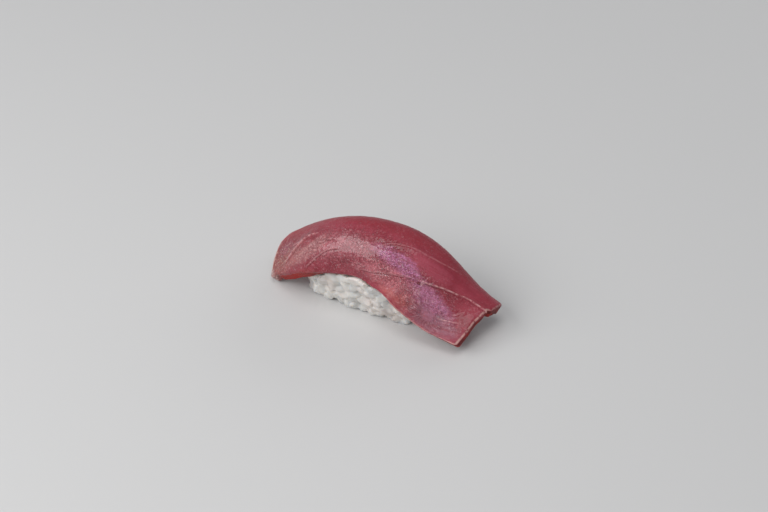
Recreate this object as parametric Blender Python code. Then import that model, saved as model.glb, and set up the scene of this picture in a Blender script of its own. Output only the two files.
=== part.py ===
# Tuna nigiri: a slice of raw tuna draped over a hand-pressed ball of rice.
# Metres, +Z up. The piece stands on the flat underside of the rice, its length along X,
# with the side on which the slice hangs lowest facing -Y.

import bmesh
import bpy
import numpy as np
from mathutils import Matrix, Vector, noise

# The slice of tuna. Each row of values is spaced evenly from the left tip to the right end.
SLICE_LENGTH = 0.0928                                # along its curve
SLICE_WIDTH = (0.026, 0.033, 0.0315, 0.0265)         # across, over its curve
SLICE_THICKNESS = (0.0036, 0.0052, 0.0055, 0.0045)
SLICE_PITCH = (45, 39, 16, -16, -41, -18)            # climb of its middle line, degrees
NEAR_SLOPE = (36, 60, 91, 43, 17)                    # tilt across it at the near edge
MIDDLE_SLOPE = (20, 15, 24, 33, 13)                  # tilt across it on the middle line
FAR_SLOPE = (-46, -58, -63, -57, -47)                # tilt across it at the far edge
MIDDLE_LINE_Y = (-0.0015, -0.0034, -0.0002, 0.0053)  # sideways sweep of the middle line
LEFT_TIP = (-0.0334, 0.0077)                         # X and Z where the middle line starts
LEFT_BULGE = 0.0012                                  # rounding of the left end, seen from above
NEAR_SLANT = (0.0004, 0.0017, 0.0011, 0.0009, 0.0006, 0.0004)  # outwards, down the near cut face
CROSS_LEAN = 0.78                                    # how far cross-sections lean with the pitch
END_STEP = 0.0015                                    # how far the far half of the right end sticks out
END_STEP_SPAN = (0.26, 0.42)                         # where across the end that step lies, -1 to 1
RIM_RADIUS = 0.0011                                  # rounding of the cut edges
SLICE_GRID = (44, 18)                                # faces along and across

# The ball of rice
RICE_SIZE = (0.0455, 0.0215, 0.028)                  # before the slice presses into it
RICE_CENTRE = (0.0034, 0.0011, 0.0115)
RICE_TURN = 7                                        # degrees about Z, with the sweep of the slice
RICE_TILT = 12                                       # degrees that it leans to the near side
RICE_SQUARENESS = 4                                  # 2 is an ellipsoid, more is boxier
RICE_CUTS = 17                                       # cuts in each edge of the cage
GRAIN_SIZE = 0.0045                                  # spacing of the bumps
GRAIN_HEIGHT = 0.0009
GAP = 0.0003                                         # between slice and rice
PRESS_ABOVE = 1.4                                    # reach of the press above the slice, in thicknesses


def clear_scene():
    for item in list(bpy.data.objects):
        bpy.data.objects.remove(item, do_unlink=True)


def principled(name, colour, roughness):
    material = bpy.data.materials.new(name)
    material.use_nodes = True
    shader = material.node_tree.nodes["Principled BSDF"]
    shader.inputs["Base Color"].default_value = (*colour, 1.0)
    shader.inputs["Roughness"].default_value = roughness
    shader.inputs["Metallic"].default_value = 0.0
    return material


def add_object(name, bm, collection, material=None, parent=None):
    mesh = bpy.data.meshes.new(name)
    bm.to_mesh(mesh)
    bm.free()
    mesh.shade_smooth()
    item = bpy.data.objects.new(name, mesh)
    if material:
        mesh.materials.append(material)
    item.parent = parent
    collection.objects.link(item)
    return item


def smooth(values, u):
    """Reads a smooth curve through evenly spaced values at u, from 0 to 1."""
    v = np.array(values, dtype=float)
    last = len(v) - 1
    v = np.concatenate([[2 * v[0] - v[1]], v, [2 * v[-1] - v[-2]]])
    i = np.clip((u * last).astype(int), 0, last - 1)
    t = u * last - i
    a, b, c, d = v[i], v[i + 1], v[i + 2], v[i + 3]
    return b + 0.5 * t * (c - a + t * (2 * a - 5 * b + 4 * c - d + t * (3 * b - a - 3 * c + d)))


def upper_face(u, across):
    """Points of the slice's upper face: u runs 0 to 1 along it, across runs -1 near to 1 far."""
    stations = np.linspace(-0.05, 1.05, 1101)
    pitch = np.radians(smooth(SLICE_PITCH, (stations[1:] + stations[:-1]) / 2))
    step = SLICE_LENGTH * (stations[1] - stations[0])
    x = np.concatenate([[0], np.cumsum(np.cos(pitch))]) * step
    z = np.concatenate([[0], np.cumsum(np.sin(pitch))]) * step
    x += LEFT_TIP[0] - np.interp(0, stations, x)
    z += LEFT_TIP[1] - np.interp(0, stations, z)
    near, middle, far = (np.radians(smooth(s, u)) for s in (NEAR_SLOPE, MIDDLE_SLOPE, FAR_SLOPE))
    half_width = smooth(SLICE_WIDTH, u) / 2
    sideways = np.zeros_like(u)
    rise = np.zeros_like(u)
    pieces = 20
    for k in range(pieces):
        a = across * (k + 0.5) / pieces
        slope = middle + (far - near) / 2 * a + ((far + near) / 2 - middle) * a * a
        sideways += np.cos(slope) * half_width * across / pieces
        rise += np.sin(slope) * half_width * across / pieces
    lean = np.radians(smooth(SLICE_PITCH, u)) * CROSS_LEAN
    return np.stack([
        np.interp(u, stations, x) - np.sin(lean) * rise,
        smooth(MIDDLE_LINE_Y, u) + sideways,
        np.interp(u, stations, z) + np.cos(lean) * rise,
    ], axis=-1)


def draped(u, across, depth):
    """Points of the slice at a fraction of its thickness below its upper face."""
    small = 1e-3
    along = upper_face(u + small, across) - upper_face(u - small, across)
    over = upper_face(u, across + small) - upper_face(u, across - small)
    normal = np.cross(along, over)
    normal /= np.linalg.norm(normal, axis=-1, keepdims=True)
    return upper_face(u, across) - normal * (depth * smooth(SLICE_THICKNESS, u))[..., None]


def flat_slab(grow, above):
    """The slice as cut, lying flat: X 0 to 1 along, Y -1 to 1 across, Z 0 on top to -1 below."""
    bm = bmesh.new()
    bmesh.ops.create_grid(bm, x_segments=SLICE_GRID[0], y_segments=SLICE_GRID[1], size=1)
    bmesh.ops.translate(bm, verts=bm.verts, vec=(1, 0, above))
    bmesh.ops.scale(bm, verts=bm.verts, vec=(0.5, 1, 1))
    top = bmesh.ops.extrude_face_region(bm, geom=bm.faces[:])
    lower = [v for v in top["geom"] if isinstance(v, bmesh.types.BMVert)]
    bmesh.ops.translate(bm, verts=lower, vec=(0, 0, -1 - above - grow))
    bmesh.ops.recalc_face_normals(bm, faces=bm.faces)
    return bm


def round_rims(bm):
    """Rounds the cut edges, measured on a slab of the slice's mean size."""
    mean = (SLICE_LENGTH, np.mean(SLICE_WIDTH) / 2, np.mean(SLICE_THICKNESS))
    bmesh.ops.scale(bm, verts=bm.verts, vec=mean)
    rims = [e for e in bm.edges if e.calc_face_angle(0) > 1]
    bmesh.ops.bevel(bm, geom=rims, offset=RIM_RADIUS, offset_type='OFFSET', affect='EDGES',
                    segments=2, profile=0.5, material=-1)
    bmesh.ops.scale(bm, verts=bm.verts, vec=[1 / m for m in mean])


def drape(bm):
    """Bends the flat slab over the rice."""
    u, across, height = np.array([v.co for v in bm.verts]).T
    step = np.clip((across - END_STEP_SPAN[0]) / (END_STEP_SPAN[1] - END_STEP_SPAN[0]), 0, 1)
    right = step * step * (3 - 2 * step) * END_STEP
    left = (1 - across ** 2) * LEFT_BULGE
    u = u + (right * np.clip(u, 0, 1) ** 6 - left * np.clip(1 - u, 0, 1) ** 6) / SLICE_LENGTH
    slant = smooth(NEAR_SLANT, u) / smooth(SLICE_WIDTH, u) * 2
    across = across + slant * np.minimum(height, 0) * np.clip((1 - across) / 2, 0, 1) ** 4
    for vert, point in zip(bm.verts, draped(u, across, -height)):
        vert.co = point
    return bm


def make_slice(collection, material, parent):
    bm = flat_slab(0, 0)
    round_rims(bm)
    return add_object("tuna_slice", drape(bm), collection, material, parent)


def make_press(collection, parent):
    """Cutter: the space that the slice takes up in the rice, with the gap round it."""
    spread = 2 * GAP / np.mean(SLICE_WIDTH)
    bm = flat_slab(GAP / np.mean(SLICE_THICKNESS), PRESS_ABOVE)
    bmesh.ops.scale(bm, verts=bm.verts, vec=(1, 1 + 2 * spread, 1))
    press = add_object("slice_press", drape(bm), collection, parent=parent)
    press.hide_render = True
    press.display_type = 'WIRE'
    return press


def make_rice(collection, material, parent, press):
    """A rounded block, bumpy with its grains and flat where it stands, pressed by the slice."""
    bm = bmesh.new()
    bmesh.ops.create_cube(bm, size=2)
    bmesh.ops.subdivide_edges(bm, edges=bm.edges, cuts=RICE_CUTS, use_grid_fill=True)
    half = Vector(RICE_SIZE) / 2
    for v in bm.verts:
        reach = sum(abs(c) ** RICE_SQUARENESS for c in v.co) ** (1 / RICE_SQUARENESS)
        v.co = v.co / reach * half
    bm.normal_update()
    bumps = [noise.noise(v.co / GRAIN_SIZE) * GRAIN_HEIGHT for v in bm.verts]
    for v, bump in zip(bm.verts, bumps):
        v.co += v.normal * bump
    turn = Matrix.Rotation(np.radians(RICE_TURN), 4, 'Z') @ Matrix.Rotation(np.radians(RICE_TILT), 4, 'X')
    place = Matrix.Translation(RICE_CENTRE) @ turn
    bmesh.ops.transform(bm, matrix=place, verts=bm.verts)
    below = [v for v in bm.verts if v.co.z < 0]
    bmesh.ops.scale(bm, verts=below, vec=(1, 1, 0))
    rice = add_object("rice", bm, collection, material, parent)
    cut = rice.modifiers.new("pressed by the slice", 'BOOLEAN')
    cut.operation = 'DIFFERENCE'
    cut.solver = 'EXACT'
    cut.object = press
    return rice


def centre_on_base(parent, items):
    """Puts the middle of the whole piece's underside at the origin."""
    bpy.context.view_layer.update()
    graph = bpy.context.evaluated_depsgraph_get()
    points = []
    for item in items:
        body = item.evaluated_get(graph)
        points += [body.matrix_world @ v.co for v in body.data.vertices]
    low = Vector([min(p[k] for p in points) for k in range(3)])
    high = Vector([max(p[k] for p in points) for k in range(3)])
    parent.location = (-(low.x + high.x) / 2, -(low.y + high.y) / 2, -low.z)
    bpy.context.view_layer.update()


def main():
    clear_scene()
    collection = bpy.data.collections.new("tuna nigiri")
    cutters = bpy.data.collections.new("cutters")
    for item in (collection, cutters):
        bpy.context.scene.collection.children.link(item)
    centre = bpy.data.objects.new("centre", None)
    collection.objects.link(centre)
    tuna = principled("raw_tuna", (0.31, 0.08, 0.1), 0.35)
    cooked = principled("cooked_rice", (0.6, 0.58, 0.55), 0.4)
    piece = make_slice(collection, tuna, centre)
    rice = make_rice(collection, cooked, centre, make_press(cutters, centre))
    centre_on_base(centre, [piece, rice])


main()
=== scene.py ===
import math

import bmesh
import bpy
import numpy as np
from mathutils import Matrix, Vector, noise
from mathutils.bvhtree import BVHTree
from mathutils.kdtree import KDTree


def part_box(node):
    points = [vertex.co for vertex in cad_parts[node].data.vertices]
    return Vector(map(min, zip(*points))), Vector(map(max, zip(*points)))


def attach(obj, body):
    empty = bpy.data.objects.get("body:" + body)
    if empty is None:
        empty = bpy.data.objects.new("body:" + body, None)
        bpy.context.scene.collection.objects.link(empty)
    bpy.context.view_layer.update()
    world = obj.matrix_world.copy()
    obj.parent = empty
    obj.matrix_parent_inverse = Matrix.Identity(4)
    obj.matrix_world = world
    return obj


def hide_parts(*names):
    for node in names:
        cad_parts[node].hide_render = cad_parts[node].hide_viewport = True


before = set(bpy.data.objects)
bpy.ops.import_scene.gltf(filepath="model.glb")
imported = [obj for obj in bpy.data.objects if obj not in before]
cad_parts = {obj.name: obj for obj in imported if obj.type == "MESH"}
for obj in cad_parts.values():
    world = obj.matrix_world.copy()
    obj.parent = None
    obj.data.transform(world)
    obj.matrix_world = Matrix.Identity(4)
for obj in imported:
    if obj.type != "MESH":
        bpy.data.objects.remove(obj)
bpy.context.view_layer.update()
print("frame loaded")

mm = 0.001


# ---- small helpers for meshes

def toObject(name, bm, smooth=True):
    mesh = bpy.data.meshes.new(name)
    bm.to_mesh(mesh)
    bm.free()
    if smooth:
        mesh.shade_smooth()
    piece = bpy.data.objects.new(name, mesh)
    bpy.context.scene.collection.objects.link(piece)
    return piece


def through(values, u):
    # smooth curve through evenly spaced values, read at u from 0 to 1
    v = np.array(values, dtype=float)
    last = len(v) - 1
    v = np.concatenate([[2 * v[0] - v[1]], v, [2 * v[-1] - v[-2]]])
    i = np.clip((u * last).astype(int), 0, last - 1)
    t = u * last - i
    a, b, c, d = v[i], v[i + 1], v[i + 2], v[i + 3]
    return b + 0.5 * t * (c - a + t * (2 * a - 5 * b + 4 * c - d + t * (3 * b - a - 3 * c + d)))


def ease(x, low, high):
    t = np.clip((x - low) / (high - low), 0, 1)
    return t * t * (3 - 2 * t)


def hump(x, width):
    return np.exp(-(x / width) ** 2)


def waves(place, size, seed):
    # soft lumps between -1 and 1, one value for each point
    shift = Vector((seed * 7.3, seed * 3.1, seed * 5.7))
    return np.array([noise.noise(Vector(p) / size + shift) for p in place])


# ---- the slice of tuna: cut flat, then laid over the rice. Millimetres and degrees.
# A row of values is spaced evenly from the left tip to the right end.

tunaCut = {
    "length": 92.8,
    "width": (26, 33, 31.5, 26.5),
    "thickness": (3.6, 5.2, 5.5, 4.5),
    "rimRadius": 0.9,
    "leftBulge": 1.2,                # rounding of the left end, seen from above
    "nearSlant": (0.4, 1.7, 1.1, -0.3, -1.0, -1.0),   # outwards, down the near cut face
    "nearOut": (0, 0, 0.1, 0.9, 1.1, 0.9),   # how far the near rim hangs out over its cut face
    "endStep": 1.5,                  # how far the far half of the right end sticks out
    "endStepSpan": (0.26, 0.36),     # where across the end that step lies, -1 to 1
    "endBelly": 0.7,                 # outward swell of the right cut face
    "endRipple": 0.4,                # unevenness of both ends
    "edgeWander": 0.4,               # and of the long edges
    "tipNotch": (3.6, 1.1, 0.8),     # place along, half width and depth of a notch beside the left tip
    "rowsAlong": (300, 20),          # cuts, in every line longer than this
    "rowsAcross": (100, 20),
    "rowsDown": (8, 1.2),
}

tunaDrape = {
    "pitch": (45, 39, 16, -16, -41, -18),     # climb of its middle line
    "nearSlope": (36, 60, 91, 43, 17),        # tilt across it, at the near edge
    "middleSlope": (20, 15, 24, 33, 13),
    "farSlope": (-46, -58, -63, -57, -47),
    "middleLine": (-1.5, -3.4, -0.2, 5.3),    # sideways sweep
    "lean": 0.78,                             # how far cross-sections lean with the pitch
}

# Fine shape of the slice. A sinew is a line of places (along, across), then the heights of its fold
# and its ridge, the depth of the crease beside it, and the strengths of its pale line and of its dark
# line, which is painted shade in that crease.
tunaGrain = {
    "sinews": (
        # left end: a ridge, a thin branch above it, and a faint line on the far side
        (((9, -10.9), (12.1, -8.4), (14.4, -6.9), (15.5, -5.9), (18.3, -4.6), (20.4, -3.1),
          (21.6, -2.5), (24.1, -2.4), (27, -2.2)),
         (0.20, 0.40, 0.42, 1.0, 0.7)),
        (((11, -4.6), (14.2, -4.3), (16, -4.3), (19.5, -3.9)),
         (0.0, 0.14, 0.14, 0.8, 0.7)),
        (((2, 2.5), (7, 5.2), (14, 8.2), (22, 10.5)),
         (0.08, 0.08, 0.10, 0.3, 0.3)),
        # creases over the rice
        (((23, -14.2), (26.4, -12.6), (29.7, -10.3), (31.8, -8.9), (34.3, -8.1), (39, -7.2)),
         (0.05, 0.14, 0.28, 0.5, 0.9)),
        (((29, -4.2), (31, -4.5), (33.5, -4.5), (37, -4.0)),
         (0.0, 0.05, 0.22, 0.1, 0.8)),
        # the long crease, and the crest that goes on from it to the right end
        (((49, -12.6), (53.8, -11.5), (58.9, -9.5), (63.1, -7.6), (66.4, -5.6), (70, -4)),
         (0.05, 0.10, 0.22, 0.4, 0.65)),
        (((69, -4.4), (71, -3.6), (74.5, -2), (77.7, -0.2), (80.5, 0.7), (83.1, 1.6), (85.4, 2.4),
          (88.2, 2.6), (90.9, 2.6), (96, 2.7)),
         (0.34, 0.34, 0.10, 1.0, 0.5)),
        # the faint line above them, and a short one near the right end
        (((51, -2.8), (55, 0.2), (58, 2), (62.4, 3.3), (68, 4.6), (74.7, 6.9), (79, 8.6)),
         (0.14, 0.18, 0.05, 0.32, 0.2)),
        (((82, -9.6), (84.9, -8.4), (87.5, -7.1), (90, -6.1)),
         (0.03, 0.26, 0.10, 0.85, 0.3)),
    ),
    "sway": 0.22,                    # how far the sinews waver
    "foldWidth": 1.6,
    "ridgeWidth": 0.3,
    "creaseAside": 0.5,              # from the ridge to its crease
    "lump": 0.22,                    # height of the soft lumps all over
    "lumpSize": 6.0,
    "smallLump": 0.066,
    "smallLumpSize": 2.1,
    "dimple": 0.05,
    "dimpleSize": 0.75,
    "nick": (70.8, -4.0),
    "nickDepth": 0.35,
    "nickWidth": 0.5,
    "fanCentre": (80.3, -10.2),      # fine pleats and wrinkles spread out from here
    "pleatDepth": 0.15,
    "pleatWidth": 0.13,
    "pleatTurns": 6.0,               # pleats for each radian
    "pleatSway": 0.5,                # how far they waver, in radians
    "pleatSpan": ((1.0, 4.0), (9.0, 15.0)),   # where they start and where they end
}


def upperFace(u, across):
    drape = tunaDrape
    stations = np.linspace(-0.05, 1.05, 2201)
    pitch = np.radians(through(drape["pitch"], (stations[1:] + stations[:-1]) / 2))
    step = tunaCut["length"] * (stations[1] - stations[0])
    x = np.concatenate([[0], np.cumsum(np.cos(pitch))]) * step
    z = np.concatenate([[0], np.cumsum(np.sin(pitch))]) * step
    slopes = ("nearSlope", "middleSlope", "farSlope")
    near, middle, far = (np.radians(through(drape[k], u)) for k in slopes)
    halfWidth = through(tunaCut["width"], u) / 2
    sideways = np.zeros_like(u)
    rise = np.zeros_like(u)
    pieces = 16
    for k in range(pieces):
        a = across * (k + 0.5) / pieces
        slope = middle + (far - near) / 2 * a + ((far + near) / 2 - middle) * a * a
        sideways += np.cos(slope) * halfWidth * across / pieces
        rise += np.sin(slope) * halfWidth * across / pieces
    lean = np.radians(through(drape["pitch"], u)) * drape["lean"]
    return np.stack([
        np.interp(u, stations, x) - np.sin(lean) * rise,
        through(drape["middleLine"], u) + sideways,
        np.interp(u, stations, z) + np.cos(lean) * rise,
    ], axis=-1)


def draped(u, across, depth):
    # depth is a share of the thickness, down from the upper face
    small = 1e-3
    along = upperFace(u + small, across) - upperFace(u - small, across)
    over = upperFace(u, across + small) - upperFace(u, across - small)
    normal = np.cross(along, over)
    normal /= np.linalg.norm(normal, axis=-1, keepdims=True)
    return upperFace(u, across) - normal * (depth * through(tunaCut["thickness"], u))[..., None]


def cutFlatSlice():
    # X 0 to 1 along, Y -1 to 1 across, Z 0 on top to -1 underneath
    size = (tunaCut["length"], np.mean(tunaCut["width"]) / 2, np.mean(tunaCut["thickness"]))
    bm = bmesh.new()
    bmesh.ops.create_cube(bm, size=1)
    bmesh.ops.translate(bm, verts=bm.verts, vec=(0.5, 0, -0.5))
    bmesh.ops.scale(bm, verts=bm.verts, vec=(size[0], size[1] * 2, size[2]))
    bmesh.ops.bevel(bm, geom=bm.edges[:], offset=tunaCut["rimRadius"], offset_type='OFFSET',
                    affect='EDGES', segments=4, profile=0.5, material=-1)
    for axis, rows in enumerate(("rowsAlong", "rowsAcross", "rowsDown")):
        cuts, shortest = tunaCut[rows]
        lines = []
        for edge in bm.edges:
            run = edge.verts[1].co - edge.verts[0].co
            if abs(run[axis]) > 0.99 * run.length and run.length > shortest:
                lines.append(edge)
        bmesh.ops.subdivide_edges(bm, edges=lines, cuts=cuts)
    bmesh.ops.scale(bm, verts=bm.verts, vec=[1 / s for s in size])
    return bm


def sinewPlaces(along, across):
    # signed distance from each sinew, and how much of the sinew there is at that place
    places = np.stack([along, across, along * 0], axis=-1)
    sway = waves(places, 4.0, 6) * tunaGrain["sway"]
    found = []
    for points, strengths in tunaGrain["sinews"]:
        s, t = np.array(points, dtype=float).T
        line = sum(np.interp(along + shift, s, t) for shift in (-1.2, 0, 1.2)) / 3
        slope = (np.interp(along + 1, s, t) - np.interp(along - 1, s, t)) / 2
        away = (across - line + sway) / np.sqrt(1 + slope ** 2)
        # it fades out over its last 3 mm
        within = ease(along, s[0] - 0.5, s[0] + 3) * ease(-along, -s[-1] - 0.5, -s[-1] + 3)
        found.append((away, within, strengths))
    return found


def sliceRelief(along, across, depth, sinews):
    # height of the fine shape over the smooth slice, from each point's place in the flat slice
    grain = tunaGrain
    flat = np.stack([along, across, depth], axis=-1)
    lengthened = flat * (0.5, 1, 1)
    height = waves(lengthened, grain["lumpSize"], 1) * grain["lump"]
    height += waves(flat, grain["smallLumpSize"], 2) * grain["smallLump"]
    height += waves(flat, grain["dimpleSize"], 5) * grain["dimple"]
    top = ease(depth, -1.6, -0.5)    # the rest is on the upper face and its rim only
    for away, within, strengths in sinews:
        fold, ridge, crease = strengths[:3]
        height += top * within * fold * hump(away, grain["foldWidth"])
        height += top * within * ridge * hump(away, grain["ridgeWidth"])
        height -= top * within * crease * hump(away + grain["creaseAside"], grain["ridgeWidth"])
    nickAway = np.hypot(along - grain["nick"][0], (across - grain["nick"][1]) * 1.6)
    height -= top * grain["nickDepth"] * hump(nickAway, grain["nickWidth"])
    return height - top * pleats(flat)


def pleats(flat):
    # depth of the thin wavering pleats
    away = flat[:, :2] - np.array(tunaGrain["fanCentre"])
    reach = np.hypot(away[:, 0], away[:, 1] * 1.5)
    angle = np.arctan2(away[:, 1], away[:, 0]) + waves(flat, 3.0, 12) * tunaGrain["pleatSway"]
    polar = np.stack([angle * tunaGrain["pleatTurns"], reach * 0.25, reach * 0], axis=-1)
    start, end = tunaGrain["pleatSpan"]
    within = ease(reach, *start) * (1 - ease(reach, *end))
    return tunaGrain["pleatDepth"] * within * hump(waves(polar, 1.0, 13), tunaGrain["pleatWidth"])


def nearestSinew(sinews):
    # distance from the nearest sinew, with the strengths of its pale line and of its dark line of
    # painted shade there
    away = np.full(len(sinews[0][0]), 9.0)
    pale = np.zeros_like(away)
    dark = np.zeros_like(away)
    for distance, within, strengths in sinews:
        nearer = (np.abs(distance) < np.abs(away)) & (within > 0)
        away[nearer] = distance[nearer]
        pale[nearer] = within[nearer] * strengths[3]
        dark[nearer] = within[nearer] * strengths[4]
    return np.stack([away, pale, dark], axis=-1)


def shapeEnds(u, across, high):
    # the step, the swell and the uneven run of the two ends
    cut = tunaCut
    far = ease(across, *cut["endStepSpan"])
    belly = cut["endBelly"] * np.clip(-high * (1 + high) * 4, 0, 1) * (1 - far)
    right = far * cut["endStep"] + belly
    left = (1 - across ** 2) * cut["leftBulge"]
    ripple = waves(np.stack([across * 12, high * 2, u * 0], -1), 5, 4) * cut["endRipple"]
    inside = np.clip(u, 0, 1)
    return u + ((right + ripple) * inside ** 8 - (left + ripple) * (1 - inside) ** 8) / cut["length"]


def shapeEdges(u, across, high):
    # slant, overhang and notch of the near cut face, and the wander of both long edges
    cut = tunaCut
    halfWidth = through(cut["width"], u) / 2
    notchAlong, notchWidth, notchDepth = cut["tipNotch"]
    notch = notchDepth * hump(u * cut["length"] - notchAlong, notchWidth)
    inward = through(cut["nearSlant"], u) * high - through(cut["nearOut"], u) * (1 + high) + notch
    across = across + inward / halfWidth * np.clip((1 - across) / 2, 0, 1) ** 6
    run = np.stack([u * cut["length"], high * 3, across * 0 + 3], -1)
    wander = waves(run, 8, 3) * cut["edgeWander"]
    return across + across * np.abs(across) ** 5 * wander / halfWidth


def setPoints(bm, points):
    for vert, point in zip(bm.verts, points):
        vert.co = point


def layTunaSlice():
    bm = cutFlatSlice()
    u, across, high = np.array([v.co for v in bm.verts]).T
    u = shapeEnds(u, across, high)
    across = shapeEdges(u, across, high)
    points = draped(u, across, -high)
    setPoints(bm, points)
    bm.normal_update()
    normals = np.array([v.normal for v in bm.verts])
    halfWidth = through(tunaCut["width"], u) / 2
    thickness = through(tunaCut["thickness"], u)
    place = np.stack([u * tunaCut["length"], across * halfWidth, high * thickness], -1)
    sinews = sinewPlaces(place[:, 0], place[:, 1])
    points = points + normals * sliceRelief(*place.T, sinews)[:, None]
    # fit it to the space that the frame gives it
    low, top = (np.array(c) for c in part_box("tuna_slice"))
    points = (points - points.min(0)) / (points.max(0) - points.min(0)) * (top - low) + low
    setPoints(bm, points)
    piece = toObject("tunaSlice", bm)
    for name, values in (("flatPlace", place), ("nearSinew", nearestSinew(sinews))):
        held = piece.data.attributes.new(name, 'FLOAT_VECTOR', 'POINT')
        held.data.foreach_set("vector", values.astype(np.float32).ravel())
    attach(piece, "root")
    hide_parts("tuna_slice")
    return piece


tunaPiece = layTunaSlice()
print("tuna slice laid:", len(tunaPiece.data.polygons), "faces")


# ---- the rice: separate grains pressed round a smaller core. Millimetres.

riceBall = {
    "grainCount": 330,
    "grainSize": (6.4, 3.5, 3.1),    # length, width, thickness
    "sizeSpread": 0.08,
    "sizeLimits": (0.82, 1.18),
    "spacing": 3.0,
    "sink": 1.25,                    # depth of a grain's middle below the outline
    "tilt": 0.35,                    # how far grains lean out of the outline
    "bend": 0.09,
    "blunt": 0.12,
    "overlap": 0.13,                 # how far neighbours press into each other
    "proud": (-0.1, 0.7),            # how far grains reach past the outline before the press
    "pressDepth": (-0.5, 0.9),       # least and most depth below the outline where flattening starts
    "flattened": 0.35,               # share of that which the press leaves
    "topRise": 0.75,                 # how far grains under the slice may reach past the outline
    "coreInset": (0.5, 1.9),         # least and most depth of the gaps between grains
    "scatterTries": 9000,
    "settleSteps": 40,
    "push": 0.25,                    # shares of each correction that one step makes
    "turn": 0.5,
    "pull": 0.4,
    "layFlat": 0.1,
    "grainSides": 12,
    "grainRings": 9,
    "cell": 0.32,                    # fineness of the pressed body
    "seed": 11,
}


def mergedCopy(node):
    bm = bmesh.new()
    bm.from_mesh(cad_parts[node].data)
    bmesh.ops.remove_doubles(bm, verts=bm.verts, dist=1e-6)
    return bm


def scatterOnOutline(outline, rng):
    # evenly spread points over the outline
    triangles = bmesh.ops.triangulate(outline, faces=outline.faces)["faces"]
    areas = np.array([f.calc_area() for f in triangles])
    tries = riceBall["scatterTries"]
    picks = rng.choice(len(triangles), size=tries, p=areas / areas.sum())
    spots, facings = [], []
    for pick, (a, b) in zip(picks, rng.random((tries, 2))):
        face = triangles[pick]
        a, b = (1 - a, 1 - b) if a + b > 1 else (a, b)
        p, q, r = (v.co for v in face.verts)
        spots.append(p + (q - p) * a + (r - p) * b)
        facings.append(face.normal.copy())
    spots, facings = np.array(spots), np.array(facings)
    apart = riceBall["spacing"] * mm
    kept = []
    for i in range(tries):
        if len(kept) >= riceBall["grainCount"]:
            break
        if not kept or np.linalg.norm(spots[kept] - spots[i], axis=1).min() > apart:
            kept.append(i)
    return spots[kept], facings[kept]


def unit(vectors):
    return vectors / np.linalg.norm(vectors, axis=1)[:, None]


def settleGrains(outline, tree, rng):
    # each grain is a row of three balls; they push each other apart and lie against the outline
    ball = riceBall
    spots, facings = scatterOnOutline(outline, rng)
    count = len(spots)
    spread = rng.normal(1, ball["sizeSpread"], (count, 3)).clip(*ball["sizeLimits"])
    sizes = np.array(ball["grainSize"]) * mm * spread
    middle = spots - facings * ball["sink"] * mm
    spin = rng.normal(size=(count, 3))
    tilt = rng.normal(0, ball["tilt"], count)[:, None]
    axis = unit(unit(spin - facings * (spin * facings).sum(1)[:, None]) + facings * tilt)
    radius = (sizes[:, 1] + sizes[:, 2]) / 4
    reach = (sizes[:, 0] / 2 - radius)[:, None]
    ballRadius = np.tile(radius, 3)
    owner = np.tile(np.arange(count), 3)
    other = owner[:, None] != owner[None]
    touch = (ballRadius[:, None] + ballRadius[None]) * (1 - ball["overlap"])
    for _ in range(ball["settleSteps"]):
        balls = np.concatenate([middle - axis * reach, middle, middle + axis * reach])
        square = (balls ** 2).sum(1)
        gap = square[:, None] + square[None] - 2 * balls @ balls.T
        distance = np.sqrt(np.maximum(gap, 1e-12))
        force = np.maximum(touch - distance, 0) * other / distance
        push = (force.sum(1)[:, None] * balls - force @ balls) * ball["push"]
        move = push.reshape(3, count, 3)
        middle = middle + move.mean(0)
        axis = unit(axis + (move[2] - move[0]) / (2 * reach) * ball["turn"])
        for i, place in enumerate(middle):
            near, normal = tree.find_nearest(Vector(place))[:2]
            normal = np.array(normal)
            inside = (place - np.array(near)) @ normal
            want = -radius[i] + rng.uniform(*ball["proud"]) * mm
            middle[i] += normal * (want - inside) * ball["pull"]
            axis[i] -= normal * (axis[i] @ normal) * ball["layFlat"]
        axis = unit(axis)
    return middle, axis, sizes


def addGrain(bm, plain, middle, axis, size, rng):
    # plump, a little bent and flattened, blunter at one end
    grain = plain.copy()
    bend = rng.uniform(-riceBall["bend"], riceBall["bend"])
    blunt = rng.uniform(0.0, riceBall["blunt"])
    turn = rng.uniform(0, 2 * math.pi)
    facing = Vector(axis).to_track_quat('Z', 'Y').to_matrix() @ Matrix.Rotation(turn, 3, 'Z')
    for v in grain.verts:
        x, y, z = v.co
        ring = math.hypot(x, y)
        if ring > 1e-6:
            # fuller than an ellipsoid towards the ends
            wide = 0.5 * (1 - abs(2 * z) ** 2.6) ** 0.5 / ring
            x, y = x * wide, y * wide
        x = x * (1 + blunt * z * 2) + bend * (0.25 - z * z) * 2
        v.co = facing @ Vector((x * size[1], y * size[2], z * size[0])) + Vector(middle)
    shaped = bpy.data.meshes.new("grain")
    grain.to_mesh(shaped)
    grain.free()
    bm.from_mesh(shaped)
    bpy.data.meshes.remove(shaped)


def fuse(loose):
    # the grains and the core become one skin
    join = loose.modifiers.new("stuck together", 'REMESH')
    join.mode = 'VOXEL'
    join.voxel_size = riceBall["cell"] * mm
    shown = loose.evaluated_get(bpy.context.evaluated_depsgraph_get())
    fused = bpy.data.meshes.new_from_object(shown)
    bpy.data.objects.remove(loose)
    bm = bmesh.new()
    bm.from_mesh(fused)
    bpy.data.meshes.remove(fused)
    return bm


def dropHollows(bm):
    # only the largest linked group of points stays, which is the outer skin
    groups = []
    waiting = set(bm.verts)
    while waiting:
        group = {waiting.pop()}
        newest = list(group)
        while newest:
            linked = {e.other_vert(v) for v in newest for e in v.link_edges}
            newest = linked & waiting
            waiting -= newest
            group |= newest
        groups.append(group)
    groups.sort(key=len)
    bmesh.ops.delete(bm, geom=[v for group in groups[:-1] for v in group], context='VERTS')


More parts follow.
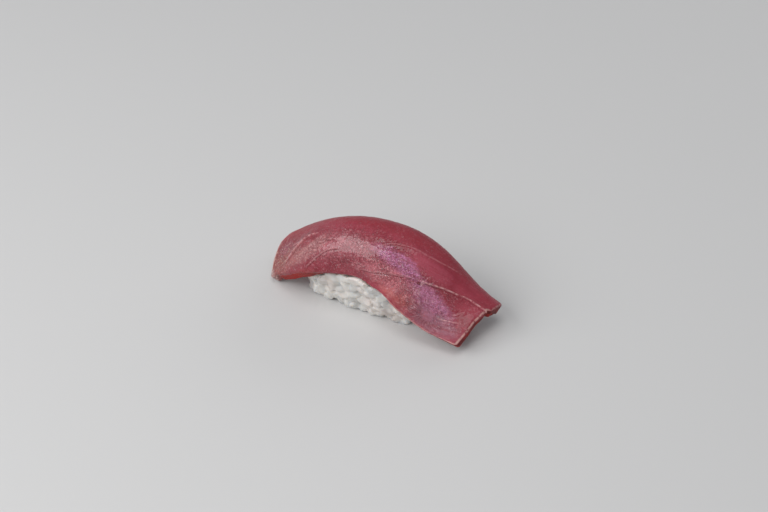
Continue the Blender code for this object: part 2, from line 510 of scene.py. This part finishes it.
def soften(bm):
    bmesh.ops.smooth_vert(bm, verts=bm.verts, factor=0.5, use_axis_x=True, use_axis_y=True,
                          use_axis_z=True)


def pressSides(bm, tree):
    # the press flattens, unevenly, what stands proud at the sides, and the slice holds the top down
    least, most = riceBall["pressDepth"]
    topRise = riceBall["topRise"] * mm
    depths = (waves([v.co / mm for v in bm.verts], 4.2, 9) * 0.8 + 0.5).clip(0, 1)
    for v, depth in zip(bm.verts, depths):
        near, normal = tree.find_nearest(v.co)[:2]
        proud = (v.co - near) @ normal
        aside = min(max((0.75 - abs(normal.z)) / 0.4, 0), 1)
        over = proud + (least + (most - least) * depth) * mm
        if over > 0:
            v.co -= normal * over * (1 - riceBall["flattened"]) * aside
        if normal.z > 0.5 and proud > topRise:
            v.co -= normal * (proud - topRise)
        v.co.z = max(v.co.z, 0)


def grainTones(bm, middles, axes, sizes, rng):
    # every point takes the tone of the grain that it lies on
    grains = KDTree(len(middles) * 3)
    for i, (middle, axis, size) in enumerate(zip(middles, axes, sizes)):
        for part in (-1, 0, 1):
            grains.insert(middle + axis * size[0] * 0.32 * part, i)
    grains.balance()
    tones = rng.random(len(middles))
    return np.array([tones[grains.find(v.co)[1]] for v in bm.verts], dtype=np.float32)


def pressRice():
    outline = mergedCopy("rice")
    outline.normal_update()
    tree = BVHTree.FromBMesh(outline)
    rng = np.random.default_rng(riceBall["seed"])
    middles, axes, sizes = settleGrains(outline, tree, rng)
    print("rice grains settled:", len(middles))
    # the outline shrinks to the core
    least, most = riceBall["coreInset"]
    gaps = waves([v.co / mm for v in outline.verts], 5.0, 8).clip(-0.5, 0.5) + 0.5
    for v, gap in zip(outline.verts, gaps):
        v.co -= v.normal * (least + (most - least) * gap) * mm
    plain = bmesh.new()
    bmesh.ops.create_uvsphere(plain, u_segments=riceBall["grainSides"],
                              v_segments=riceBall["grainRings"], radius=0.5)
    for middle, axis, size in zip(middles, axes, sizes):
        addGrain(outline, plain, middle, axis, size, rng)
    plain.free()
    bm = fuse(toObject("looseRice", outline))
    dropHollows(bm)
    soften(bm)
    pressSides(bm, tree)
    soften(bm)
    tones = grainTones(bm, middles, axes, sizes, rng)
    piece = toObject("riceBall", bm)
    held = piece.data.attributes.new("grainTone", 'FLOAT', 'POINT')
    held.data.foreach_set("value", tones)
    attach(piece, "root")
    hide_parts("rice")
    return piece


ricePiece = pressRice()
print("rice pressed:", len(ricePiece.data.polygons), "faces")


# ---- nodes shared by the materials

def addNode(tree, kind, **settings):
    node = tree.nodes.new(kind)
    for key, value in settings.items():
        setattr(node, key, value)
    return node


def feed(tree, socket, value):
    if isinstance(value, (int, float)):
        socket.default_value = value
    elif isinstance(value, tuple):
        socket.default_value = value if len(value) == len(socket.default_value) else (*value, 1)
    else:
        tree.links.new(value, socket)


def calc(tree, operation, *values):
    node = addNode(tree, 'ShaderNodeMath', operation=operation)
    for socket, value in zip(node.inputs, values):
        feed(tree, socket, value)
    return node.outputs[0]


def times(tree, first, second):
    return calc(tree, 'MULTIPLY', first, second)


def scaled(tree, value, factor, plus):
    return calc(tree, 'MULTIPLY_ADD', value, factor, plus)


def ramp(tree, value, low, high):
    # 0 at low and 1 at high, which may be the smaller
    node = addNode(tree, 'ShaderNodeMapRange', interpolation_type='SMOOTHSTEP')
    feed(tree, node.inputs["Value"], value)
    feed(tree, node.inputs["From Min"], low)
    feed(tree, node.inputs["From Max"], high)
    return node.outputs["Result"]


def blend(tree, mask, first, second):
    node = addNode(tree, 'ShaderNodeMix', data_type='RGBA')
    for index, value in ((0, mask), (6, first), (7, second)):
        feed(tree, node.inputs[index], value)
    return node.outputs[2]


def grainNoise(tree, place, scale, detail=2.0, roughness=0.5, distortion=0.0):
    node = addNode(tree, 'ShaderNodeTexNoise')
    settings = {"Vector": place, "Scale": scale, "Detail": detail, "Roughness": roughness,
                "Distortion": distortion}
    for label, value in settings.items():
        feed(tree, node.inputs[label], value)
    return node.outputs["Fac"]


def vectorMath(tree, operation, *values, result="Vector"):
    node = addNode(tree, 'ShaderNodeVectorMath', operation=operation)
    for socket, value in zip(node.inputs, values):
        feed(tree, socket, value)
    return node.outputs[result]


def stretched(tree, place, factors):
    return vectorMath(tree, 'MULTIPLY', place, factors)


def turned(tree, place, angle):
    node = addNode(tree, 'ShaderNodeVectorRotate', rotation_type='Z_AXIS')
    feed(tree, node.inputs["Vector"], place)
    feed(tree, node.inputs["Angle"], angle)
    return node.outputs[0]


def parts(tree, vector):
    node = addNode(tree, 'ShaderNodeSeparateXYZ')
    feed(tree, node.inputs[0], vector)
    return node.outputs


def attribute(tree, name, result="Vector"):
    return addNode(tree, 'ShaderNodeAttribute', attribute_name=name).outputs[result]


def newGroup(name, inputs, outputs):
    # inputs hold each socket's start value, and None stands for a vector that is always linked
    group = bpy.data.node_groups.new(name, 'ShaderNodeTree')
    for label, value in inputs.items():
        kind = 'NodeSocketFloat' if isinstance(value, float) else 'NodeSocketVector'
        socket = group.interface.new_socket(name=label, in_out='INPUT', socket_type=kind)
        if value is not None:
            socket.default_value = value
    for label in outputs:
        group.interface.new_socket(name=label, in_out='OUTPUT', socket_type='NodeSocketFloat')
    given = addNode(group, 'NodeGroupInput').outputs
    result = addNode(group, 'NodeGroupOutput').inputs
    return group, given, result


def useGroup(tree, group, **values):
    node = addNode(tree, 'ShaderNodeGroup', node_tree=group)
    for label, value in values.items():
        feed(tree, node.inputs[label], value)
    return node.outputs


def sinewGroup():
    # a thin broken line along a sinew, pale, beside a dark line of painted shade in its crease
    group, given, result = newGroup(
        "sinewLine", {"Place": None, "Sinew": None, "Width": 0.4}, ["Pale", "Dark"])
    distance, pale, dark = parts(group, given["Sinew"])
    broken = ramp(group, grainNoise(group, given["Place"], 0.9, 3.0), 0.3, 0.6)
    for label, strength, shift in (("Pale", pale, 0.0), ("Dark", dark, 0.5)):
        away = calc(group, 'ABSOLUTE', calc(group, 'ADD', distance, shift))
        share = calc(group, 'DIVIDE', away, given["Width"])
        near = calc(group, 'MAXIMUM', calc(group, 'SUBTRACT', 1.0, share), 0.0)
        feed(group, result[label], times(group, near, times(group, broken, strength)))
    return group


def patchGroup():
    # soft-edged oval patch with an uneven border
    group, given, result = newGroup(
        "softPatch",
        {"Place": None, "Centre": (0, 0, 0), "Reach": (5, 5, 5), "Turn": 0.0},
        ["Mask"])
    away = vectorMath(group, 'SUBTRACT', given["Place"], given["Centre"])
    lying = turned(group, away, times(group, given["Turn"], -1.0))
    size = vectorMath(group, 'LENGTH', vectorMath(group, 'DIVIDE', lying, given["Reach"]),
                      result="Value")
    border = calc(group, 'SUBTRACT', grainNoise(group, given["Place"], 0.45, 4.0, 0.65), 0.5)
    feed(group, result["Mask"], ramp(group, calc(group, 'ADD', border, size), 1.15, 0.45))
    return group


def moistGroup():
    # small raised cells with darker lines of painted shade between them, a few glints, and pits of
    # painted shade
    group, given, result = newGroup(
        "moistSurface", {"Place": None, "Scale": 2.0}, ["Height", "Net", "Glints", "Pits"])
    place = given["Place"]
    scale = given["Scale"]
    bending = addNode(group, 'ShaderNodeTexNoise')
    feed(group, bending.inputs["Vector"], place)
    feed(group, bending.inputs["Scale"], times(group, scale, 0.5))
    bent = vectorMath(group, 'MULTIPLY_ADD', bending.outputs["Color"], (0.9, 0.9, 0.9), place)
    cells = addNode(group, 'ShaderNodeTexVoronoi', feature='SMOOTH_F1')
    cells.inputs["Smoothness"].default_value = 0.4
    feed(group, cells.inputs["Vector"], bent)
    feed(group, cells.inputs["Scale"], scale)
    away = cells.outputs["Distance"]
    fine = grainNoise(group, place, times(group, scale, 1.7), 3.0, 0.6)
    folds = grainNoise(group, bent, times(group, scale, 0.45), 2.0, 0.5)
    crinkle = calc(group, 'ABSOLUTE', calc(group, 'SUBTRACT', folds, 0.5))
    crinkle = ramp(group, crinkle, 0.035, 0.0)
    flecks = grainNoise(group, bent, times(group, scale, 0.8), 4.0, 0.75)
    patchy = ramp(group, grainNoise(group, place, 0.3, 3.0, 0.6), 0.32, 0.6)
    height = scaled(group, fine, 0.8, times(group, away, -0.9))
    height = scaled(group, crinkle, -0.5, height)
    feed(group, result["Height"], scaled(group, flecks, 0.8, height))
    cellLines = ramp(group, scaled(group, fine, 0.45, away), 0.5, 0.85)
    feed(group, result["Net"], calc(group, 'MAXIMUM', cellLines, times(group, crinkle, 0.8)))
    glints = times(group, ramp(group, flecks, 0.53, 0.68), scaled(group, patchy, 0.8, 0.2))
    feed(group, result["Glints"], glints)
    pits = times(group, ramp(group, fine, 0.42, 0.34), ramp(group, away, 0.3, 0.5))
    feed(group, result["Pits"], pits)
    return group


def fanGroup():
    # fine wrinkles that spread out from one point
    group, given, result = newGroup(
        "fanWrinkles", {"Place": None, "Centre": (0, 0, 0), "Turns": 9.0}, ["Height"])
    move = vectorMath(group, 'SUBTRACT', given["Place"], given["Centre"])
    x, y = parts(group, move)[:2]
    reach = vectorMath(group, 'LENGTH', move, result="Value")
    sway = scaled(group, grainNoise(group, given["Place"], 0.35, 3.0), 0.55,
                  calc(group, 'ARCTAN2', y, x))
    polar = addNode(group, 'ShaderNodeCombineXYZ')
    feed(group, polar.inputs[0], times(group, sway, given["Turns"]))
    feed(group, polar.inputs[1], times(group, reach, 0.3))
    lines = ramp(group, grainNoise(group, polar.outputs[0], 1.0, 3.0, 0.6), 0.3, 0.7)
    # level near the point itself
    lines = scaled(group, calc(group, 'SUBTRACT', lines, 0.5), ramp(group, reach, 0.8, 3.5), 0.5)
    feed(group, result["Height"], lines)
    return group


def newMaterial(name):
    material = bpy.data.materials.new(name)
    material.use_nodes = True
    tree = material.node_tree
    return material, tree, tree.nodes["Principled BSDF"]


def setBump(tree, shader, height, distance, strength):
    bump = addNode(tree, 'ShaderNodeBump')
    bump.inputs["Distance"].default_value = distance
    bump.inputs["Strength"].default_value = strength
    feed(tree, bump.inputs["Height"], height)
    feed(tree, shader.inputs["Normal"], bump.outputs["Normal"])


def setGlow(shader, weight, radius, scale):
    shader.inputs["Subsurface Weight"].default_value = weight
    shader.inputs["Subsurface Radius"].default_value = radius
    shader.inputs["Subsurface Scale"].default_value = scale


sinewLine = sinewGroup()
softPatch = patchGroup()
moistSurface = moistGroup()
fanWrinkles = fanGroup()


# ---- raw tuna. Places on the flat slice are millimetres along and across.

rawTuna = {
    "flesh": (0.37, 0.055, 0.082),
    "deepFlesh": (0.265, 0.029, 0.046),
    # paler flesh of the mottles, partly painted sheen
    "paleFleshAndSheen": (0.48, 0.12, 0.14),
    "fibre": (0.30, 0.032, 0.048),
    "sinew": (0.66, 0.34, 0.35),
    # painted shade in the creases beside the sinews
    "crease": (0.17, 0.018, 0.026),
    # deep red of the cut faces, darkened as painted shade
    "cutFace": (0.17, 0.009, 0.010),
    # brighter wet red of the cut faces, partly painted highlight
    "wetRedAndHighlight": (0.42, 0.018, 0.013),
    # painted highlight along the rim of the cut
    "rimHighlight": (0.80, 0.50, 0.45),
    "net": (0.19, 0.021, 0.031),         # painted shade: dark lines and dots between the cells of the moist surface
    "glint": (0.82, 0.53, 0.56),
    "fatAndGlint": (0.80, 0.56, 0.38),           # yellowish specks at the left end: fat, drawn on the painted glints
    "fibreAngle": -0.3,                  # of the fine streaks, from the length of the slice
    "fibreStrength": 0.55,
    "mottleStrength": 0.75,
    "netStrength": 0.55,
    "glintStrength": 0.7,
    "pitStrength": 0.7,
    "fatAndGlintStrength": 0.8,
    "fanTurns": 17.0,                    # wrinkles for each radian round the middle of the fan
    # painted highlight on the crests and painted shade in the grooves of the fan wrinkles
    "fanPale": 0.32,
    "fanDark": 0.45,
    "sinewWidth": 0.42,
    "cells": 1.9,                        # cells of the moist surface for each mm
    "farLevel": 0.25,                    # share of the moist surface that the far half has
    "nearHalf": ((46, -7), (56, 10), 0.07),      # centre, reach and turn of each area
    "fattyEnd": ((4, -6.5), (8, 7), 0.3),
    "fanArea": ((76, -10.5), (12, 5.5), 0.0),
    "calmAreas": (                       # and how much of the moist surface goes there
        (((77, 3.6), (17, 4.6), 0.2), 0.75),
        (((88, -2.5), (6, 5), 0.3), 0.6),
    ),
    "relief": 0.0003,
    "mottleRelief": 0.6,
    "fanRelief": 0.9,
    "roughness": 0.42,
    "cutRoughness": 0.25,                # more than that, on the cut faces
    "coat": 0.7,
    "farCoat": 0.15,                     # shares of it on the far half and on the cut faces
    "cutCoat": 0.25,
    "coatRoughness": 0.12,
    "gloss": 0.19,
    "glow": 0.2,                         # share of light that scatters inside the flesh
    "glowColours": (1.0, 0.35, 0.3),
    "glowReach": 0.0015,
}

# tint, strength, centre, reach and turn of each patch of colour
tunaPatches = (
    # left end: beige near half, sheen beside the ridge, deeper red behind it, partly painted shade
    ((0.38, 0.12, 0.088), 0.75, (3, -10), (11, 8), 0.2),
    ((0.60, 0.25, 0.22), 0.55, (17, -8.5), (9, 4), 0.45),
    ((0.38, 0.05, 0.05), 0.70, (10, 5), (11, 6), 0.5),
    # pinker flesh above the crest, and the two lilac patches of painted iridescent sheen
    ((0.45, 0.085, 0.125), 0.65, (69, 1.5), (11, 4), 0.2),
    ((0.70, 0.27, 0.49), 0.90, (61, -3.9), (12, 3.6), -0.03),
    ((0.62, 0.25, 0.43), 0.84, (77, -7.1), (11.5, 5.2), -0.1),
    # sheen along the crown
    ((0.58, 0.205, 0.24), 0.66, (37, -6.3), (17, 6.0), 0.08),
    ((0.68, 0.36, 0.35), 0.70, (25, -7.6), (9, 3.8), 0.5),
    # salmon below the long crease
    ((0.58, 0.17, 0.15), 0.75, (66, -12.0), (14, 3.6), 0.0),
    ((0.67, 0.22, 0.26), 0.80, (60, -9.8), (16, 4.6), 0.05),
    # clear red near edge, mauve near right corner
    ((0.42, 0.014, 0.010), 0.92, (17, -16.8), (14, 2.2), 0.0),
    ((0.36, 0.15, 0.20), 0.80, (83, -11.5), (11, 4.5), 0.1),
    # deeper red round the left ridge, partly painted shade, then mauve, and pale toe
    ((0.28, 0.013, 0.027), 0.90, (11, 2), (12, 6), 0.5),
    ((0.36, 0.045, 0.07), 0.80, (23, -4.6), (6, 1.8), 0.4),
    ((0.43, 0.14, 0.21), 0.60, (6.5, -4.0), (4.5, 3.5), 0.4),
    ((0.82, 0.68, 0.63), 0.90, (-0.2, -13.3), (3.4, 3.4), 0.0),
    # the nick: painted shade in it and a painted highlight on its edge
    ((0.10, 0.012, 0.02), 0.90, (70.8, -4.7), (1.0, 0.6), 0.6),
    ((0.80, 0.55, 0.57), 0.60, (71.7, -4.2), (0.6, 0.9), 0.3),
    # dark band of painted shade along the back, on the top that faces away from the light
    ((0.28, 0.031, 0.043), 0.75, (45, 8.5), (46, 6), 0.06),
)


def areaMask(tree, place, centre, reach, turn):
    deepReach = 9.0      # every area goes through the thickness
    outputs = useGroup(tree, softPatch, Place=place, Centre=(*centre, 0.0),
                       Reach=(*reach, deepReach), Turn=turn)
    return outputs["Mask"]


def fleshColour(tree, place):
    look = rawTuna
    clouds = grainNoise(tree, stretched(tree, place, (0.07, 0.16, 0.2)), 1.0, 4.0, 0.6)
    colour = blend(tree, ramp(tree, clouds, 0.35, 0.7), look["flesh"], look["deepFlesh"])
    for tint, strength, centre, reach, turn in tunaPatches:
        mask = areaMask(tree, place, centre, reach, turn)
        colour = blend(tree, times(tree, mask, strength), colour, tint)
    slanted = turned(tree, place, look["fibreAngle"])
    fibres = grainNoise(tree, stretched(tree, slanted, (0.06, 1.1, 1.1)), 1.0, 4.0, 0.65, 0.3)
    mask = times(tree, ramp(tree, fibres, 0.45, 0.7), look["fibreStrength"])
    return blend(tree, mask, colour, look["fibre"])


def moistLevel(tree, place, along, across, nearHalf):
    # how strong the moist surface is: most where the near half catches the light
    look = rawTuna
    level = scaled(tree, nearHalf, 1 - look["farLevel"], look["farLevel"])
    uneven = grainNoise(tree, stretched(tree, place, (0.7, 1.2, 1)), 0.14, 3.0, 0.6)
    level = times(tree, level, scaled(tree, ramp(tree, uneven, 0.36, 0.58), 0.4, 0.62))
    leftEnd = times(tree, ramp(tree, along, 24.0, 8.0), ramp(tree, across, 4.0, -3.0))
    level = calc(tree, 'MAXIMUM', level, leftEnd)
    for area, loss in look["calmAreas"]:
        level = times(tree, level, scaled(tree, areaMask(tree, place, *area), -loss, 1.0))
    return level


def rimHighlightMask(tree, place, along, across, depth):
    # painted highlight along the rim of the cut: a pale rim, fainter at the rolled near edge and on
    # the far flap, and at the left tip
    rimHighlight = times(tree, ramp(tree, depth, -0.04, -0.25), ramp(tree, depth, -0.75, -0.4))
    rimHighlight = times(tree, rimHighlight, ramp(tree, grainNoise(tree, place, 0.9, 3.0), 0.3, 0.55))
    rolled = times(tree, ramp(tree, across, -6.0, -10.0), ramp(tree, along, 50.0, 36.0))
    flap = times(tree, ramp(tree, across, 3.0, 5.0), 0.6)
    faint = calc(tree, 'MAXIMUM', rolled, flap)
    rimHighlight = times(tree, rimHighlight, calc(tree, 'SUBTRACT', 1.0, faint))
    rimHighlight = times(tree, rimHighlight, scaled(tree, ramp(tree, along, 88.0, 92.0), 0.3, 0.4))
    tip = times(tree, ramp(tree, along, 0.8, 0.15), ramp(tree, depth, -1.2, -0.5))
    return calc(tree, 'MAXIMUM', rimHighlight, times(tree, tip, 0.6))


def tunaMaterial():
    look = rawTuna
    material, tree, shader = newMaterial("rawTuna")
    place = attribute(tree, "flatPlace")
    along, across, depth = parts(tree, place)
    colour = fleshColour(tree, place)
    # mottling, partly painted sheen; a net and pits of painted shade; and glints
    nearHalf = areaMask(tree, place, *look["nearHalf"])
    level = moistLevel(tree, place, along, across, nearHalf)
    moist = useGroup(tree, moistSurface, Place=place, Scale=look["cells"])
    mottle = grainNoise(tree, place, 1.1, 4.0, 0.7, 0.6)
    layers = (
        (ramp(tree, mottle, 0.48, 0.68), look["mottleStrength"], look["paleFleshAndSheen"]),
        (moist["Net"], look["netStrength"], look["net"]),
        (moist["Glints"], look["glintStrength"], look["glint"]),
        (moist["Pits"], look["pitStrength"], look["net"]),
    )
    for mask, amount, tint in layers:
        colour = blend(tree, times(tree, mask, times(tree, level, amount)), colour, tint)
    # yellow fat specks on the painted glints of the left end
    fatty = areaMask(tree, place, *look["fattyEnd"])
    specks = times(tree, moist["Glints"], times(tree, fatty, look["fatAndGlintStrength"]))
    colour = blend(tree, specks, colour, look["fatAndGlint"])
    # the fan of wrinkles: painted highlight on their crests, painted shade in their grooves
    fanCentre = (*tunaGrain["fanCentre"], 0.0)
    fan = useGroup(tree, fanWrinkles, Place=place, Centre=fanCentre, Turns=look["fanTurns"])["Height"]
    fanArea = areaMask(tree, place, *look["fanArea"])
    for span, amount, tint in (((0.6, 0.9), "fanPale", "glint"), ((0.38, 0.15), "fanDark", "net")):
        mask = times(tree, ramp(tree, fan, *span), fanArea)
        colour = blend(tree, times(tree, mask, look[amount]), colour, look[tint])
    # sinews, and painted shade in the creases beside them
    line = useGroup(tree, sinewLine, Place=place, Sinew=attribute(tree, "nearSinew"),
                    Width=look["sinewWidth"])
    colour = blend(tree, line["Dark"], colour, look["crease"])
    colour = blend(tree, line["Pale"], colour, look["sinew"])
    # a clearer red down the cut faces, from an uneven border: their deep red darkened as painted
    # shade, mottled with a brighter wet red that is partly painted highlight and is wettest at the
    # left
    border = scaled(tree, grainNoise(tree, place, 0.35, 3.0, 0.6), 1.4, -0.7)
    wall = ramp(tree, calc(tree, 'ADD', depth, border), -0.6, -1.1)
    wall = times(tree, wall, ramp(tree, along, 3.0, 7.0))
    wetAndHighlight = grainNoise(tree, stretched(tree, place, (0.3, 0.3, 0.7)), 1.0, 3.0, 0.6)
    wetAndHighlight = calc(tree, 'MAXIMUM', ramp(tree, wetAndHighlight, 0.45, 0.65), ramp(tree, along, 28.0, 16.0))
    colour = blend(tree, wall, colour, blend(tree, wetAndHighlight, look["cutFace"], look["wetRedAndHighlight"]))
    colour = blend(tree, rimHighlightMask(tree, place, along, across, depth), colour, look["rimHighlight"])
    feed(tree, shader.inputs["Base Color"], colour)
    height = times(tree, scaled(tree, mottle, look["mottleRelief"], moist["Height"]), level)
    height = scaled(tree, times(tree, fan, fanArea), look["fanRelief"], height)
    setBump(tree, shader, height, look["relief"], 1.0)
    roughness = scaled(tree, wall, look["cutRoughness"], look["roughness"])
    feed(tree, shader.inputs["Roughness"], roughness)
    onTop = scaled(tree, nearHalf, 1 - look["farCoat"], look["farCoat"])
    onTop = times(tree, calc(tree, 'SUBTRACT', 1.0, wall), onTop)
    coat = calc(tree, 'MAXIMUM', onTop, times(tree, wall, look["cutCoat"]))
    feed(tree, shader.inputs["Coat Weight"], times(tree, coat, look["coat"]))
    shader.inputs["Coat Roughness"].default_value = look["coatRoughness"]
    shader.inputs["Specular IOR Level"].default_value = look["gloss"]
    setGlow(shader, look["glow"], look["glowColours"], look["glowReach"])
    return material


tunaPiece.data.materials.append(tunaMaterial())
print("tuna material made")


# ---- cooked rice

cookedRice = {
    "grain": (0.75, 0.735, 0.70),
    "clearGrain": (0.60, 0.59, 0.57),
    "stained": (0.70, 0.62, 0.575),      # where juice of the fish has soaked in
    "stainStrength": 0.7,
    "toneShare": 0.45,                   # how much grains differ from each other
    "cells": 1.3,
    "relief": 0.00007,
    "reliefStrength": 0.6,
    "roughness": 0.34,
    "glow": 0.85,
    "glowColours": (1.0, 0.92, 0.8),
    "glowReach": 0.0022,
}


def riceMaterial():
    look = cookedRice
    material, tree, shader = newMaterial("cookedRice")
    inMetres = addNode(tree, 'ShaderNodeTexCoord').outputs["Object"]
    place = stretched(tree, inMetres, (1000, 1000, 1000))
    tone = times(tree, attribute(tree, "grainTone", "Fac"), look["toneShare"])
    mix = scaled(tree, grainNoise(tree, place, 0.4, 3.0), 0.8, tone)
    colour = blend(tree, ramp(tree, mix, 0.35, 0.9), look["grain"], look["clearGrain"])
    stain = ramp(tree, grainNoise(tree, place, 0.12, 2.0), 0.45, 0.7)
    colour = blend(tree, times(tree, stain, look["stainStrength"]), colour, look["stained"])
    feed(tree, shader.inputs["Base Color"], colour)
    moist = useGroup(tree, moistSurface, Place=place, Scale=look["cells"])
    setBump(tree, shader, moist["Height"], look["relief"], look["reliefStrength"])
    shader.inputs["Roughness"].default_value = look["roughness"]
    setGlow(shader, look["glow"], look["glowColours"], look["glowReach"])
    return material


ricePiece.data.materials.clear()
ricePiece.data.materials.append(riceMaterial())
print("rice material made")


# ---- floor, light and camera. Places are azimuth, elevation and distance; sizes are metres.

studio = {
    "floorColour": (0.62, 0.615, 0.61),
    "floorRoughness": 0.6,
    "floorSize": 6.0,
    "airColour": (0.92, 0.95, 1.0),
    "airStrength": 0.26,
    "keyFrom": (-28, 39, 0.85),
    "keySize": (1.0, 0.5),
    "keyPower": 5.6,
    "topFrom": (35, 78, 0.9),
    "topSize": (0.5, 0.5),
    "topPower": 2.3,
    "backFrom": (170, 24, 0.9),
    "backSize": (1.0, 0.4),
    "backPower": 1.7,
    "lens": 100.0,
    "sensor": 36.0,
    "lookAt": (-0.0130, 0.0212, 0.0),
    "seenFrom": (36.6, 38.0, 0.747),
}


def direction(azimuth, elevation):
    a, e = math.radians(azimuth), math.radians(elevation)
    return Vector((math.sin(a) * math.cos(e), -math.cos(a) * math.cos(e), math.sin(e)))


def aim(thing, azimuth, elevation, distance, target=(0, 0, 0)):
    back = direction(azimuth, elevation)
    thing.location = Vector(target) + back * distance
    thing.rotation_euler = back.to_track_quat('Z', 'Y').to_euler()
    bpy.context.scene.collection.objects.link(thing)


def softLight(name, glossy=True):
    data = bpy.data.lights.new(name, 'AREA')
    data.shape = 'RECTANGLE'
    data.size, data.size_y = studio[name + "Size"]
    data.energy = studio[name + "Power"]
    light = bpy.data.objects.new(name + "Light", data)
    light.visible_glossy = glossy
    aim(light, *studio[name + "From"])


def setStudio():
    bm = bmesh.new()
    bmesh.ops.create_grid(bm, x_segments=2, y_segments=2, size=studio["floorSize"] / 2)
    floor = toObject("floor", bm, smooth=False)
    material, tree, shader = newMaterial("paleFloor")
    feed(tree, shader.inputs["Base Color"], studio["floorColour"])
    shader.inputs["Roughness"].default_value = studio["floorRoughness"]
    floor.data.materials.append(material)
    softLight("key")
    softLight("top")
    softLight("back", glossy=False)
    world = bpy.data.worlds.new("studioAir")
    world.use_nodes = True
    air = world.node_tree.nodes["Background"]
    feed(world.node_tree, air.inputs["Color"], studio["airColour"])
    air.inputs["Strength"].default_value = studio["airStrength"]
    bpy.context.scene.world = world
    bpy.context.scene.view_settings.view_transform = 'Standard'


def setCamera():
    data = bpy.data.cameras.new("camera")
    data.lens = studio["lens"]
    data.sensor_width = studio["sensor"]
    data.clip_start = 0.01
    data.clip_end = 20
    camera = bpy.data.objects.new("camera", data)
    aim(camera, *studio["seenFrom"], studio["lookAt"])
    bpy.context.scene.camera = camera


setStudio()
setCamera()
print("studio set")
